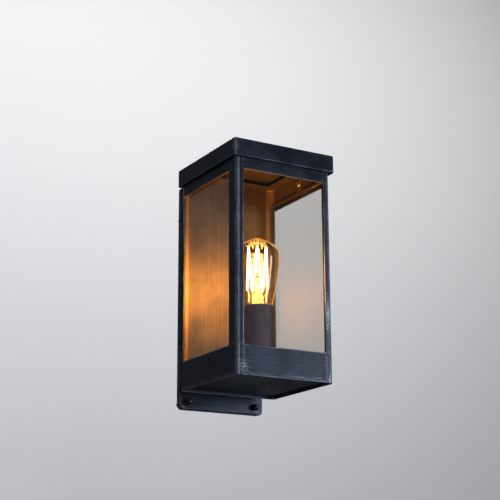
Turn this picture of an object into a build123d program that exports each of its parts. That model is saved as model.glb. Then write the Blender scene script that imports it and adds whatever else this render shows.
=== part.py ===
from build123d import *
import math
import os

# Outdoor wall lantern: a box of folded sheet with three panes, a lift-off lid, a pear-shaped
# filament bulb in a tall socket cup, and a shallow wall plate that it stands off from.
# Millimetres. The wall is the plane Y = 0 and the lantern stands towards -Y.
# The origin is on the wall, midway between the two ball-headed wall screws. +Z is up.

# ---- driving dimensions -------------------------------------------------------------
SHEET = 1.6                # body, floor, lid and neck sheet
GAP = 0.1                  # fitting gap between fixed pieces that slip together

GASKET_T = 1.5             # wall gasket thickness
PLATE_W = 140.4            # wall plate
PLATE_H = 341.2
PLATE_LOW = -11.2          # its lower edge below the ball screws
PLATE_DEPTH = 8.0
PLATE_SHEET = 1.5
PLATE_CORNER_R = 7.0
PLATE_EDGE_R = 2.5
PLATE_FACE_Y = -(GASKET_T + PLATE_DEPTH)

WALL_SCREW_SPAN = 112.0    # between the two screws of a pair
WALL_SCREW_R = 2.25
WALL_SCREW_DEPTH = 30.0    # length inside the wall
WALL_SCREW_SHOULDER_R = 2.45   # thicker from the head to the wall
KEYHOLE_Z = 285.0          # height of the upper pair

BODY_W = 158.0             # lantern body
BODY_BACK = -27.0
BODY_FRONT = -191.0
BODY_LOW = 11.0
BODY_TOP = 339.5
FRONT_CORNER_R = 8.6
BACK_CORNER_R = 6.5
TOP_FLANGE = 19.0          # width of the turned-in flange at the top
TOP_OPENING_R = 2.0
SEAM_W = 10.0              # the side walls' flanges, lapped on the back wall
SEAM_T = 1.2

WINDOW_LOW = 53.0          # windows
WINDOW_TOP = 304.0
FRONT_WINDOW_HALF = 67.0
SIDE_WINDOW_FRONT = -170.8
SIDE_WINDOW_BACK = -35.2
WINDOW_R = 3.0

TAPE_T = 0.8               # glazing
GLASS_T = 3.0
GLASS_LAP = 6.5            # how far a pane reaches past its window
FRONT_GLASS_LAP = 3.3      # less at the sides of the front pane, beside the rounded corners
BACK_GLASS_LAP = 1.4
CHANNEL_SHEET = 0.8
CHANNEL_GRIP = 2.6
CHANNEL_TAB_W = 14.0
CHANNEL_SCREW_Z = 327.0
STRIP_T = 1.6              # strip down the rear edge of the right pane
STRIP_FRONT = -45.0

LID_W = 168.0              # lid
LID_BACK = -22.0
LID_FRONT = -196.0
LID_LOW = 321.2
LID_TOP = 347.0
LID_CORNER_R = 4.5
LID_EDGE_R = 2.2
LID_LIFT_GAP = 0.2         # between the buffers and the lid

FLOOR_RECESS = 4.0         # floor above the lower edge of the body
WEEP_HOLE_R = 3.0

NECK_W = 92.0              # hollow neck between wall plate and body
NECK_H = 112.0
NECK_Z = 110.0
NECK_WALL = 2.5
NECK_CORNER_R = 8.0
NECK_BOLT_X = 38.5
NECK_BOLT_Z = 48.5
BOLT_R = 2.5
BOLT_HOLE_R = 2.7
BOSS_R = 6.5
FLANGE_R = 3.6             # welded flange of a neck stud
FLANGE_T = 1.2
WASHER_T = 1.0

BULB_Y = -115.0            # axis of bulb and lampholder
CONTACT_Z = 89.0           # lowest point of the bulb
CUP_LOW = 62.6
CUP_TOP = 127.4
CUP_R = 23.3
CUP_WALL = 1.3
NIPPLE_R = 4.9
NIPPLE_BORE_R = 3.2

WIRE_R = 1.25
WIRE_SPREAD = 3.0          # each wire's distance from the middle plane
WIRE_Z = 78.0
WIRE_SAG = 2.5
CABLE_BORE_R = 5.0
CABLE_Z = 80.0

# ---- derived places -----------------------------------------------------------------
BODY_MID_Y = (BODY_BACK + BODY_FRONT) / 2
BODY_D = BODY_BACK - BODY_FRONT
WALL_X = BODY_W / 2 - SHEET                   # inner face of a side wall
FRONT_Y = BODY_FRONT + SHEET                  # inner face of the front wall
BACK_Y = BODY_BACK - SHEET                    # inner face of the back wall
FLOOR_Z = BODY_LOW + FLOOR_RECESS             # underside of the floor
GLASS_LOW = WINDOW_LOW - GLASS_LAP
GLASS_TOP = WINDOW_TOP + GLASS_LAP
LID_UNDER = LID_TOP - SHEET
NECK_FRONT = BODY_BACK
NECK_BACK = PLATE_FACE_Y
PLATE_INNER_Y = PLATE_FACE_Y + PLATE_SHEET


# ---- helpers ------------------------------------------------------------------------
def block(x0, x1, y0, y1, z0, z1):
    """A box between two corners."""
    return Pos((x0 + x1) / 2, (y0 + y1) / 2, (z0 + z1) / 2) * Box(x1 - x0, y1 - y0, z1 - z0)


def post(half_w, front_y, back_y, z0, z1, front_r, back_r):
    """An upright box with its own corner radius at the front and at the back."""
    solid = block(-half_w, half_w, front_y, back_y, z0, z1)
    for y, radius in ((front_y, front_r), (back_y, back_r)):
        uprights = solid.edges().filter_by(Axis.Z)
        corners = uprights.filter_by_position(Axis.Y, y - GAP, y + GAP)
        solid = fillet(corners, radius)
    return solid


def rod_y(x, y0, y1, z, radius):
    """A round rod or hole along Y."""
    return Pos(x, (y0 + y1) / 2, z) * Rot(90, 0, 0) * Cylinder(radius, y1 - y0)


def rod_x(x0, x1, y, z, radius):
    """A round rod or hole along X."""
    return Pos((x0 + x1) / 2, y, z) * Rot(0, 90, 0) * Cylinder(radius, x1 - x0)


def rod_z(x, y, z0, z1, radius):
    """A round rod or hole along Z."""
    return Pos(x, y, (z0 + z1) / 2) * Cylinder(radius, z1 - z0)


def turned(points, y=BULB_Y):
    """A solid of revolution about the bulb's axis, from (radius, height) points."""
    outline = Polyline(*[(r, 0, z) for r, z in points], close=True)
    return Pos(0, y, 0) * revolve(make_face(outline), Axis.Z)


def hexagon_z(x, y, z0, z1, across_flats):
    """A hexagonal prism along Z."""
    flat = RegularPolygon(across_flats / math.sqrt(3), 6)
    return Pos(x, y, z0) * extrude(flat, z1 - z0)


def hexagon_y(x, y0, y1, z, across_flats):
    """A hexagonal prism along Y."""
    flat = RegularPolygon(across_flats / math.sqrt(3), 6)
    return Pos(x, y1, z) * Rot(90, 0, 0) * extrude(flat, y1 - y0)


def bar(start, end, radius):
    """A round bar between two points."""
    a, b = Vector(*start), Vector(*end)
    return Plane(origin=(a + b) / 2, z_dir=(b - a)) * Cylinder(radius, (b - a).length)


def slab_y(width, low, high, y0, y1, corner_r, x=0.0):
    """A flat plate in XZ with rounded corners, between two depths."""
    outline = RectangleRounded(width, high - low, corner_r)
    return Pos(x, y1, (low + high) / 2) * Rot(90, 0, 0) * extrude(outline, y1 - y0)


def pair(make):
    """A piece on each side of the middle plane."""
    return Part() + [make(-1), make(1)]


def corners_of(half_x, half_z, make):
    """A piece at each corner of a rectangle about the neck's centre."""
    return Part() + [
        make(sx * half_x, NECK_Z + sz * half_z) for sx in (-1, 1) for sz in (-1, 1)
    ]


def tube_radii(points):
    """The arc radius at each inner point of a route: as large as its two runs allow."""
    radii = []
    for before, here, after in zip(points, points[1:], points[2:]):
        a, b = Vector(*here) - Vector(*before), Vector(*after) - Vector(*here)
        half_turn = math.radians(a.get_angle(b)) / 2
        radii.append(0.45 * min(a.length, b.length) / math.tan(half_turn))
    return radii


# ---- wall plate ---------------------------------------------------------------------
def wall_gasket():
    ring = slab_y(PLATE_W, PLATE_LOW, PLATE_LOW + PLATE_H, -GASKET_T, 0, PLATE_CORNER_R)
    hole = slab_y(PLATE_W - 12, PLATE_LOW + 6, PLATE_LOW + PLATE_H - 6, -GASKET_T - 1, 1, 3.0)
    return ring - hole


def keyhole(side):
    """A keyhole: the screw's head enters below and its shank slides up the slot."""
    x = side * WALL_SCREW_SPAN / 2
    y0, y1 = PLATE_FACE_Y - 1, PLATE_INNER_Y + 1
    return (
        rod_y(x, y0, y1, KEYHOLE_Z - 13, 5.75)
        + block(x - 2.6, x + 2.6, y0, y1, KEYHOLE_Z - 13, KEYHOLE_Z)
        + rod_y(x, y0, y1, KEYHOLE_Z, 2.6)
    )


def wall_plate():
    rim = -GASKET_T
    pan = slab_y(PLATE_W, PLATE_LOW, PLATE_LOW + PLATE_H, PLATE_FACE_Y, rim, PLATE_CORNER_R)
    pan = fillet(pan.faces().sort_by(Axis.Y)[0].edges(), PLATE_EDGE_R)
    t = PLATE_SHEET
    inside = slab_y(PLATE_W - 2 * t, PLATE_LOW + t, PLATE_LOW + PLATE_H - t, PLATE_INNER_Y,
                    rim + 1, PLATE_CORNER_R - t)
    pan -= fillet(inside.faces().sort_by(Axis.Y)[0].edges(), PLATE_EDGE_R - t)
    y0, y1 = PLATE_FACE_Y - 1, PLATE_INNER_Y + 1
    pan -= pair(lambda s: rod_y(s * WALL_SCREW_SPAN / 2, y0, y1, 0, 2.6))
    pan -= pair(keyhole)
    pan -= rod_y(0, y0, y1, CABLE_Z, CABLE_BORE_R + 3)
    pan -= corners_of(NECK_BOLT_X, NECK_BOLT_Z, lambda x, z: rod_y(x, y0, y1, z, BOLT_HOLE_R))
    pan -= rod_y(-30, y0, y1, CABLE_Z, 2.1)
    pan -= rod_y(0, y0, y1, 127, 1.7)
    return pan


def ball_screw(side):
    """A wall screw with a ball-shaped head that sits on the wall plate."""
    x = side * WALL_SCREW_SPAN / 2
    flat_y, ball_r = PLATE_FACE_Y, 5.0
    ball = Pos(x, flat_y - 3.6, 0) * Sphere(ball_r)
    head = ball & block(x - 6, x + 6, flat_y - 9, flat_y, -6, 6)
    return head + screw_shank(x, flat_y, 0)


def screw_shank(x, from_y, z):
    """A thicker shoulder through the plate, then a shank into the wall with a pointed tip."""
    tip = 5.0
    shank = rod_y(x, from_y, 0, z, WALL_SCREW_SHOULDER_R)
    shank += rod_y(x, 0, WALL_SCREW_DEPTH - tip, z, WALL_SCREW_R)
    point = Pos(x, WALL_SCREW_DEPTH - tip / 2, z) * Rot(-90, 0, 0) * Cone(WALL_SCREW_R, 0.3, tip)
    return shank + point


def keyhole_screw(side):
    x = side * WALL_SCREW_SPAN / 2
    head = rod_y(x, PLATE_FACE_Y - 2.8, PLATE_FACE_Y, KEYHOLE_Z, 5.0)
    head = fillet(head.faces().sort_by(Axis.Y)[0].edges(), 1.6)
    return head + screw_shank(x, PLATE_FACE_Y, KEYHOLE_Z)


def grommet(x, z, front_y, back_y, bore_r):
    """A rubber bush: a groove holds the sheet between its two flanges."""
    neck_r, flange_r, flange_t = bore_r + 3 - GAP, bore_r + 5, 1.6
    bush = rod_y(x, front_y - flange_t, back_y + flange_t, z, neck_r)
    bush += rod_y(x, front_y - flange_t, front_y, z, flange_r)
    bush += rod_y(x, back_y, back_y + flange_t, z, flange_r)
    return bush - rod_y(x, front_y - 5, back_y + 5, z, bore_r)


def earth_screw():
    head = rod_y(-30, PLATE_FACE_Y - 2.4, PLATE_FACE_Y, CABLE_Z, 3.8)
    slot = block(-34, -26, PLATE_FACE_Y - 3, PLATE_FACE_Y - 1.4, CABLE_Z - 0.5, CABLE_Z + 0.5)
    return head - slot + rod_y(-30, PLATE_FACE_Y, -2.5, CABLE_Z, 2.0)


# ---- neck ---------------------------------------------------------------------------
def mounting_neck():
    """A short box section with a boss in each corner for the studs."""
    ring = slab_y(NECK_W, NECK_Z - NECK_H / 2, NECK_Z + NECK_H / 2, NECK_FRONT, NECK_BACK,
                  NECK_CORNER_R)
    w, h = NECK_W - 2 * NECK_WALL, NECK_H - 2 * NECK_WALL
    ring -= slab_y(w, NECK_Z - h / 2, NECK_Z + h / 2, NECK_FRONT - 1, NECK_BACK + 1,
                   NECK_CORNER_R - NECK_WALL)
    ring += corners_of(NECK_BOLT_X, NECK_BOLT_Z,
                       lambda x, z: rod_y(x, NECK_FRONT, NECK_BACK, z, BOSS_R))
    ring -= corners_of(NECK_BOLT_X, NECK_BOLT_Z,
                       lambda x, z: rod_y(x, NECK_FRONT - 1, NECK_BACK + 1, z, BOLT_HOLE_R))
    return ring - corners_of(
        NECK_BOLT_X, NECK_BOLT_Z,
        lambda x, z: rod_y(x, NECK_FRONT - 1, NECK_FRONT + FLANGE_T + GAP, z, FLANGE_R + GAP))


def neck_stud(x, z):
    """A stud welded to the back of the body, with a small flange sunk in the neck's boss."""
    flange = fillet(rod_y(x, BODY_BACK, BODY_BACK + FLANGE_T, z, FLANGE_R).faces()
                    .sort_by(Axis.Y)[-1].edges(), 0.3)
    return flange + rod_y(x, BODY_BACK, -2.3, z, BOLT_R)


def neck_washer(x, z):
    washer = rod_y(x, PLATE_INNER_Y, PLATE_INNER_Y + WASHER_T, z, 4.6)
    return washer - rod_y(x, PLATE_INNER_Y - 1, PLATE_INNER_Y + 2, z, BOLT_HOLE_R)


def neck_nut(x, z):
    y = PLATE_INNER_Y + WASHER_T
    return hexagon_y(x, y, y + 4.0, z, 8.0) - rod_y(x, y - 1, y + 5, z, BOLT_R + 0.02)


# ---- terminal block and wires -------------------------------------------------------
BLOCK_HALF_X, BLOCK_LOW, BLOCK_HIGH = 12.0, 118.0, 136.0
BLOCK_FRONT = PLATE_FACE_Y - 12.0
BLOCK_MID_Z = (BLOCK_LOW + BLOCK_HIGH) / 2
WELL_X = 7.0                                  # a screw well over each wire
BLOCK_WIRE_Y = BLOCK_FRONT + 5.5
CUP_HOLE_Z = WIRE_Z - 1.3                     # where the wires enter the cup
CUP_HOLE_R = 6.5


def terminal_block():
    """A two-way block: a mounting hole in the middle and a screw well over each wire."""
    body = block(-BLOCK_HALF_X, BLOCK_HALF_X, BLOCK_FRONT, PLATE_FACE_Y, BLOCK_LOW, BLOCK_HIGH)
    body = fillet(body.edges().filter_by(Axis.Z), 1.2)
    for x in (-WELL_X, WELL_X):
        body -= rod_y(x, BLOCK_FRONT - 1, BLOCK_FRONT + 4, BLOCK_MID_Z, 2.2)
        body -= rod_z(x, BLOCK_WIRE_Y, BLOCK_LOW - 1, BLOCK_LOW + 6, WIRE_R + 0.15)
        body -= rod_z(x, BLOCK_WIRE_Y, BLOCK_HIGH - 6, BLOCK_HIGH + 1, WIRE_R + 0.15)
    return body - rod_y(0, BLOCK_FRONT - 1, PLATE_FACE_Y + 1, BLOCK_MID_Z, 1.7)


def terminal_screw(side):
    x, face = side * WELL_X, BLOCK_FRONT + 1.2
    screw = rod_y(x, face, BLOCK_FRONT + 4, BLOCK_MID_Z, 2.0)
    return screw - block(x - 3, x + 3, face - 1, face + 0.8, BLOCK_MID_Z - 0.4, BLOCK_MID_Z + 0.4)


def terminal_fixing_screw():
    head = rod_y(0, BLOCK_FRONT - 2.0, BLOCK_FRONT, BLOCK_MID_Z, 2.8)
    head -= block(-4, 4, BLOCK_FRONT - 3, BLOCK_FRONT - 1.0, BLOCK_MID_Z - 0.4, BLOCK_MID_Z + 0.4)
    return head + rod_y(0, BLOCK_FRONT, -6.0, BLOCK_MID_Z, 1.5)


def wire_route(side):
    """Down from the terminal block, forward through the bush, sagging a little, into the cup."""
    x, y = side * WIRE_SPREAD, BLOCK_WIRE_Y
    return [
        (side * WELL_X, y, BLOCK_LOW + 5),
        (side * (WELL_X - 0.6), y, BLOCK_LOW - 18),
        (x, y, WIRE_Z + 2),
        (x, y - 33, WIRE_Z),
        (x, y - 58, WIRE_Z - WIRE_SAG),
        (x, BULB_Y + 13.1, WIRE_Z - 0.5),
    ]


def wire(side):
    points = wire_route(side)
    radii = tube_radii(points)
    path = FilletPolyline(*points, radius=radii)
    section = Plane(origin=path @ 0, z_dir=path % 0) * Circle(WIRE_R)
    tube = sweep(section, path=path)
    print("wire: bend radii", [round(r, 1) for r in radii], "length", round(path.length, 1),
          "volume", round(tube.volume, 1), "section x length",
          round(math.pi * WIRE_R ** 2 * path.length, 1))
    return tube


# ---- body ---------------------------------------------------------------------------
def body_shell():
    outer = post(BODY_W / 2, BODY_FRONT, BODY_BACK, BODY_LOW, BODY_TOP,
                 FRONT_CORNER_R, BACK_CORNER_R)
    outer -= post(WALL_X, FRONT_Y, BACK_Y, BODY_LOW - 1, BODY_TOP - SHEET,
                  FRONT_CORNER_R - SHEET, BACK_CORNER_R - SHEET)
    opening = RectangleRounded(BODY_W - 2 * TOP_FLANGE, BODY_D - 2 * TOP_FLANGE, TOP_OPENING_R)
    outer -= Pos(0, BODY_MID_Y, BODY_TOP - SHEET - 1) * extrude(opening, SHEET + 2)
    # windows
    tall = WINDOW_TOP - WINDOW_LOW
    mid_z = (WINDOW_TOP + WINDOW_LOW) / 2
    front = RectangleRounded(2 * FRONT_WINDOW_HALF, tall, WINDOW_R)
    outer -= Pos(0, FRONT_Y + 2, mid_z) * Rot(90, 0, 0) * extrude(front, 6)
    side_mid = (SIDE_WINDOW_FRONT + SIDE_WINDOW_BACK) / 2
    side = RectangleRounded(SIDE_WINDOW_BACK - SIDE_WINDOW_FRONT, tall, WINDOW_R)
    for s in (-1, 1):
        cutter = extrude(Plane.YZ * side, 3, both=True)
        outer -= Pos(s * (WALL_X + SHEET / 2), side_mid, mid_z) * cutter
    # lapped seams inside the rear corners, above the floor's flange
    seam_x = WALL_X - BACK_CORNER_R + SHEET
    for s in (-1, 1):
        x0, x1 = sorted((s * (WALL_X - SEAM_W), s * (seam_x + 1)))
        outer += block(x0, x1, BACK_Y - SEAM_T, BACK_Y + GAP, GLASS_LOW, BODY_TOP - SHEET / 2)
    # screw holes above the windows
    outer -= rod_y(0, BODY_FRONT - 1, FRONT_Y + 1, CHANNEL_SCREW_Z, 1.5)
    for s in (-1, 1):
        a, b = sorted((s * (WALL_X - 1), s * (BODY_W / 2 + 1)))
        outer -= rod_x(a, b, BODY_MID_Y, CHANNEL_SCREW_Z, 1.5)
    # the hole for the wire bush
    return outer - rod_y(0, BACK_Y - 1, BODY_BACK + 1, WIRE_Z, CABLE_BORE_R + 3)


def floor_pan():
    """The floor, with flanges that stand up inside the walls and carry the lower channels."""
    g = GAP
    top = GLASS_LOW - CHANNEL_SHEET - 0.3
    pan = post(WALL_X - g, FRONT_Y + g, BACK_Y - g, FLOOR_Z, top,
               FRONT_CORNER_R - SHEET - g, BACK_CORNER_R - SHEET - g)
    t = SHEET + g
    pan -= post(WALL_X - t, FRONT_Y + t, BACK_Y - t, FLOOR_Z + SHEET, top + 1,
                FRONT_CORNER_R - SHEET - t, BACK_CORNER_R - SHEET - t)
    for x in (-60, 60):
        pan -= rod_z(x, BACK_Y - 16, FLOOR_Z - 1, FLOOR_Z + SHEET + 1, WEEP_HOLE_R)
    for x, y in foot_rivet_places():
        pan -= rod_z(x, y, FLOOR_Z - 1, FLOOR_Z + SHEET + 1, 1.7)
    return pan


# ---- glazing ------------------------------------------------------------------------
# Each wall's pieces are drawn against the plane Y = 0 with the room side towards +Y and
# X = 0 under the screw hole, then turned onto their wall.
def on_wall(face, piece):
    place = {
        "front": Pos(0, FRONT_Y, 0),
        "left": Pos(-WALL_X, BODY_MID_Y, 0) * Rot(0, 0, -90),
        "right": Pos(WALL_X, BODY_MID_Y, 0) * Rot(0, 0, 90),
    }
    return place[face] * piece


def window_ends(face):
    """The window's two upright edges, measured along its wall."""
    if face == "front":
        return -FRONT_WINDOW_HALF, FRONT_WINDOW_HALF
    front, back = SIDE_WINDOW_FRONT - BODY_MID_Y, SIDE_WINDOW_BACK - BODY_MID_Y
    return (front, back) if face == "right" else (-back, -front)


def pane_ends(face):
    """The pane's two upright edges, which lap past the window's."""
    laps = {
        "front": (FRONT_GLASS_LAP, FRONT_GLASS_LAP),
        "left": (BACK_GLASS_LAP, GLASS_LAP),
        "right": (GLASS_LAP, BACK_GLASS_LAP),
    }
    (low, high), (lap_low, lap_high) = window_ends(face), laps[face]
    return low - lap_low, high + lap_high


def pane(face):
    x0, x1 = pane_ends(face)
    glass = block(x0, x1, TAPE_T, TAPE_T + GLASS_T, GLASS_LOW, GLASS_TOP)
    return on_wall(face, chamfer(glass.edges(), 0.4))


def tape(face):
    """A thin seal between the pane and the sheet, all round the window."""
    (x0, x1), (w0, w1), hem = pane_ends(face), window_ends(face), 0.3
    ring = block(x0, x1, 0, TAPE_T, GLASS_LOW, GLASS_TOP)
    ring -= block(w0 - hem, w1 + hem, -1, TAPE_T + 1, WINDOW_LOW - hem, WINDOW_TOP + hem)
    return on_wall(face, ring)


def pane_strip():
    """A soft strip bonded inside the right pane, down its rear edge and between the channels."""
    inner = WALL_X - TAPE_T - GLASS_T
    low, high = GLASS_LOW + CHANNEL_GRIP + GAP, GLASS_TOP - CHANNEL_GRIP - GAP
    back = SIDE_WINDOW_BACK + BACK_GLASS_LAP - 0.5
    strip = block(inner - STRIP_T, inner, STRIP_FRONT, back, low, high)
    inside = strip.faces().sort_by(Axis.X)[0]
    return fillet(inside.edges().filter_by(Axis.Z), 0.5)


def channel(face, top):
    """A U channel that grips the pane's upper or lower edge. The upper one has a tab with a
    screw hole in the middle of the wall."""
    x0, x1 = pane_ends(face)
    t, inner, slack = CHANNEL_SHEET, TAPE_T + GLASS_T + 0.3, 0.3
    up = 1 if top else -1
    edge = GLASS_TOP if top else GLASS_LOW
    web0, web1 = sorted((edge + up * slack, edge + up * (slack + t)))
    lip0, lip1 = sorted((edge - up * CHANNEL_GRIP, edge + up * (slack + t)))
    piece = block(x0, x1, 0, inner + t, web0, web1) + block(x0, x1, inner, inner + t, lip0, lip1)
    if top:
        half = CHANNEL_TAB_W / 2
        tab = block(-half, half, 0, t, web0, CHANNEL_SCREW_Z + 6)
        piece += fillet(tab.edges().filter_by(Axis.Y).group_by(Axis.Z)[-1], 4.0)
        piece -= rod_y(0, -1, t + 1, CHANNEL_SCREW_Z, 1.7)
    return on_wall(face, piece)


def channel_screw(face):
    """A pan-head sheet-metal screw: head on the channel's tab, tip through the wall."""
    seat, z = CHANNEL_SHEET, CHANNEL_SCREW_Z
    head = rod_y(0, seat, seat + 2.0, z, 3.0)
    head = fillet(head.faces().sort_by(Axis.Y)[-1].edges(), 0.9)
    cross = block(-1.6, 1.6, seat + 1.0, seat + 3, z - 0.35, z + 0.35)
    cross += block(-0.35, 0.35, seat + 1.0, seat + 3, z - 1.6, z + 1.6)
    tip = Pos(0, -3.0, z) * Rot(90, 0, 0) * Cone(1.4, 0.2, 1.2)
    return on_wall(face, head - cross + rod_y(0, -2.4, seat, z, 1.4) + tip)


# ---- lid ----------------------------------------------------------------------------
def lid():
    outer = post(LID_W / 2, LID_FRONT, LID_BACK, LID_LOW, LID_TOP, LID_CORNER_R, LID_CORNER_R)
    outer = fillet(outer.faces().sort_by(Axis.Z)[-1].edges(), LID_EDGE_R)
    inner = post(LID_W / 2 - SHEET, LID_FRONT + SHEET, LID_BACK - SHEET, LID_LOW - 1, LID_UNDER,
                 LID_CORNER_R - SHEET, LID_CORNER_R - SHEET)
    return outer - fillet(inner.faces().sort_by(Axis.Z)[-1].edges(), LID_EDGE_R - SHEET)


def lid_guides():
    """Four bent tabs under the lid that drop just inside the body's top opening."""
    t, wide, clear = 1.2, 14.0, 0.6
    half_x = BODY_W / 2 - TOP_FLANGE - clear
    half_y = BODY_D / 2 - TOP_FLANGE - clear
    low = BODY_TOP - SHEET
    guides = []
    for turn, reach in ((0, half_x), (90, half_y), (180, half_x), (270, half_y)):
        leg = block(reach - t, reach, -wide / 2, wide / 2, low, LID_UNDER)
        foot = block(reach - 12, reach, -wide / 2, wide / 2, LID_UNDER - t, LID_UNDER)
        tab = fillet((leg + foot).edges().filter_by(Axis.Y).sort_by(Axis.Z)[0:1], 0.5)
        guides.append(Pos(0, BODY_MID_Y, 0) * Rot(0, 0, turn) * tab)
    return Part() + guides


def lid_buffers():
    """Rubber discs on the body's top flange."""
    x, y = BODY_W / 2 - TOP_FLANGE / 2, BODY_D / 2 - TOP_FLANGE / 2
    high = LID_UNDER - LID_LIFT_GAP
    discs = [
        rod_z(sx * x, BODY_MID_Y + sy * y, BODY_TOP, high, 5.0) for sx in (-1, 1) for sy in (-1, 1)
    ]
    return Part() + [fillet(d.faces().sort_by(Axis.Z)[-1].edges(), 0.8) for d in discs]


# ---- lampholder ---------------------------------------------------------------------
FOOT_TOP = FLOOR_Z + SHEET + 2.5
STEM_TOP = CUP_LOW - 3.5


def foot_rivet_places():
    """Three rivets on a circle round the foot."""
    return [
        (15 * math.cos(math.radians(a)), BULB_Y + 15 * math.sin(math.radians(a)))
        for a in (90, 210, 330)
    ]


def holder_foot():
    """A turned foot: a disc on the floor with a hollow stem."""
    base = FLOOR_Z + SHEET
    foot = turned([
        (NIPPLE_R + 0.05, base), (21, base), (21, FOOT_TOP - 0.8), (20.2, FOOT_TOP),
        (9.5, FOOT_TOP), (8, FOOT_TOP + 1.5), (8, STEM_TOP - 1), (7.2, STEM_TOP),
        (NIPPLE_R + 0.05, STEM_TOP),
    ])
    for x, y in foot_rivet_places():
        foot -= rod_z(x, y, base - 1, FOOT_TOP + 1, 1.7)
    return foot


def foot_rivets():
    rivets = []
    for x, y in foot_rivet_places():
        shank = rod_z(x, y, FLOOR_Z - 0.9, FOOT_TOP + 1.4, 1.6)
        under = fillet(rod_z(x, y, FLOOR_Z - 0.9, FLOOR_Z, 3.2).faces().sort_by(Axis.Z)[0].edges(),
                       0.5)
        over = fillet(rod_z(x, y, FOOT_TOP, FOOT_TOP + 1.4, 2.8).faces().sort_by(Axis.Z)[-1].edges(),
                      0.8)
        rivets.append(shank + under + over)
    return Part() + rivets


def holder_nipple():
    z0, z1 = STEM_TOP - 16, CUP_LOW + CUP_WALL + 8.5
    return rod_z(0, BULB_Y, z0, z1, NIPPLE_R) - rod_z(0, BULB_Y, z0 - 1, z1 + 1, NIPPLE_BORE_R)


def nipple_nut(z0, z1):
    nut = hexagon_z(0, BULB_Y, z0, z1, 14.0)
    return nut - rod_z(0, BULB_Y, z0 - 1, z1 + 1, NIPPLE_R + 0.02)


def socket_cup():
    """The tall plain cup round the lampholder, with a rolled mouth and a wire hole low down."""
    r, t = CUP_R, CUP_WALL
    outer = fillet(rod_z(0, BULB_Y, CUP_LOW, CUP_TOP, r).edges().filter_by(GeomType.CIRCLE)
                   .sort_by(Axis.Z)[0:1], 3.0)
    outer = fillet(outer.edges().filter_by(GeomType.CIRCLE).sort_by(Axis.Z)[-1:], 1.1)
    inner = fillet(rod_z(0, BULB_Y, CUP_LOW + t, CUP_TOP + 5, r - t).edges()
                   .filter_by(GeomType.CIRCLE).sort_by(Axis.Z)[0:1], 1.7)
    cup = outer - inner - rod_z(0, BULB_Y, CUP_LOW - 1, CUP_LOW + t + 1, NIPPLE_R + 0.1)
    return cup - rod_y(0, BULB_Y + 15, BULB_Y + 30, CUP_HOLE_Z, CUP_HOLE_R)


def cup_bush():
    """A bush in the cup's wire hole, with a bore for each wire."""
    wall_y = BULB_Y + CUP_R
    bush = rod_y(0, wall_y - 2.8, wall_y + 1.2, CUP_HOLE_Z, CUP_HOLE_R - GAP)
    bush += rod_y(0, wall_y + 0.2, wall_y + 1.6, CUP_HOLE_Z, CUP_HOLE_R + 1.5)
    for x in (-WIRE_SPREAD, WIRE_SPREAD):
        bush -= rod_y(x, wall_y - 5, wall_y + 3, CUP_HOLE_Z, WIRE_R + 0.4)
    return bush


INSERT_LOW = WIRE_Z + 4.0
INSERT_TOP = CUP_TOP - 11.8
WELL_FLOOR = INSERT_LOW + 4.0


def socket_insert():
    """The ceramic body of the lampholder: a well for the threaded sleeve, and a boss below."""
    boss_low, bore = CUP_LOW + CUP_WALL + 3.2, NIPPLE_R + 0.05
    return turned([
        (bore, boss_low), (8.5, boss_low), (8.5, INSERT_LOW), (19, INSERT_LOW),
        (20.4, INSERT_LOW + 1.4), (20.4, INSERT_TOP - 1), (19.4, INSERT_TOP), (15.2, INSERT_TOP),
        (15.2, WELL_FLOOR), (bore, WELL_FLOOR),
    ])


def socket_terminal(side):
    """A brass block under the insert that a wire ends in, with its clamp screw."""
    x, y = side * WIRE_SPREAD, BULB_Y + 11
    clamp = block(x - 1.9, x + 1.9, y - 2, y + 2, WIRE_Z - 2.8, INSERT_LOW)
    return fillet(clamp.edges().filter_by(Axis.Z), 0.4) + rod_z(x, y, WIRE_Z - 4.2, WIRE_Z - 2.8, 1.5)


def thread_wave(z0, z1, mean_r, amplitude, pitch=3.63):
    """Points down a rolled thread's outline: crests and roots as straight flanks."""
    count = int((z1 - z0) / (pitch / 4))
    step = (z1 - z0) / count
    swing = (0, 1, 0, -1)
    return [(mean_r + amplitude * swing[i % 4], z0 + i * step) for i in range(count + 1)]


def socket_sleeve():
    """The threaded brass sleeve, standing in the insert's well."""
    z0, z1, wall = WELL_FLOOR, INSERT_TOP - 1.5, 0.6
    outside = thread_wave(z0 + 1, z1 - 1, 14.5, 0.35)
    inside = [(r - wall, z) for r, z in reversed(outside)]
    (first_r, _), (last_r, _) = outside[0], outside[-1]
    return turned([(first_r, z0), *outside, (last_r, z1), (last_r - wall, z1), *inside,
                   (first_r - wall, z0)])


def socket_contact():
    """The springy centre tongue under the bulb, folded back over its foot."""
    t, y0, y1, top = 0.6, BULB_Y - 2.5, BULB_Y + 2.5, CONTACT_Z - 0.3
    foot = block(-4, 9.5, y0, y1, WELL_FLOOR, WELL_FLOOR + t)
    riser = block(-4, -4 + t, y0, y1, WELL_FLOOR, top)
    return foot + riser + block(-4, 3.5, y0, y1, top - t, top)


# ---- bulb ---------------------------------------------------------------------------
BULB_R = 32.5
BULB_WIDEST_Z = 205.0
BULB_TOP = 230.2
TAPER_PULL_Z = 175.0       # control height of the long taper
RIM_R, RIM_Z = 20.6, 127.6
NECK_R = 12.7
NECK_JOIN_Z = 114.5
ENVELOPE_T = 0.9
CAP_R = 13.2
CAGE_R = 15.0
CAGE_LOW, CAGE_TOP = 151.5, 216.0
STRANDS = 12


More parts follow.
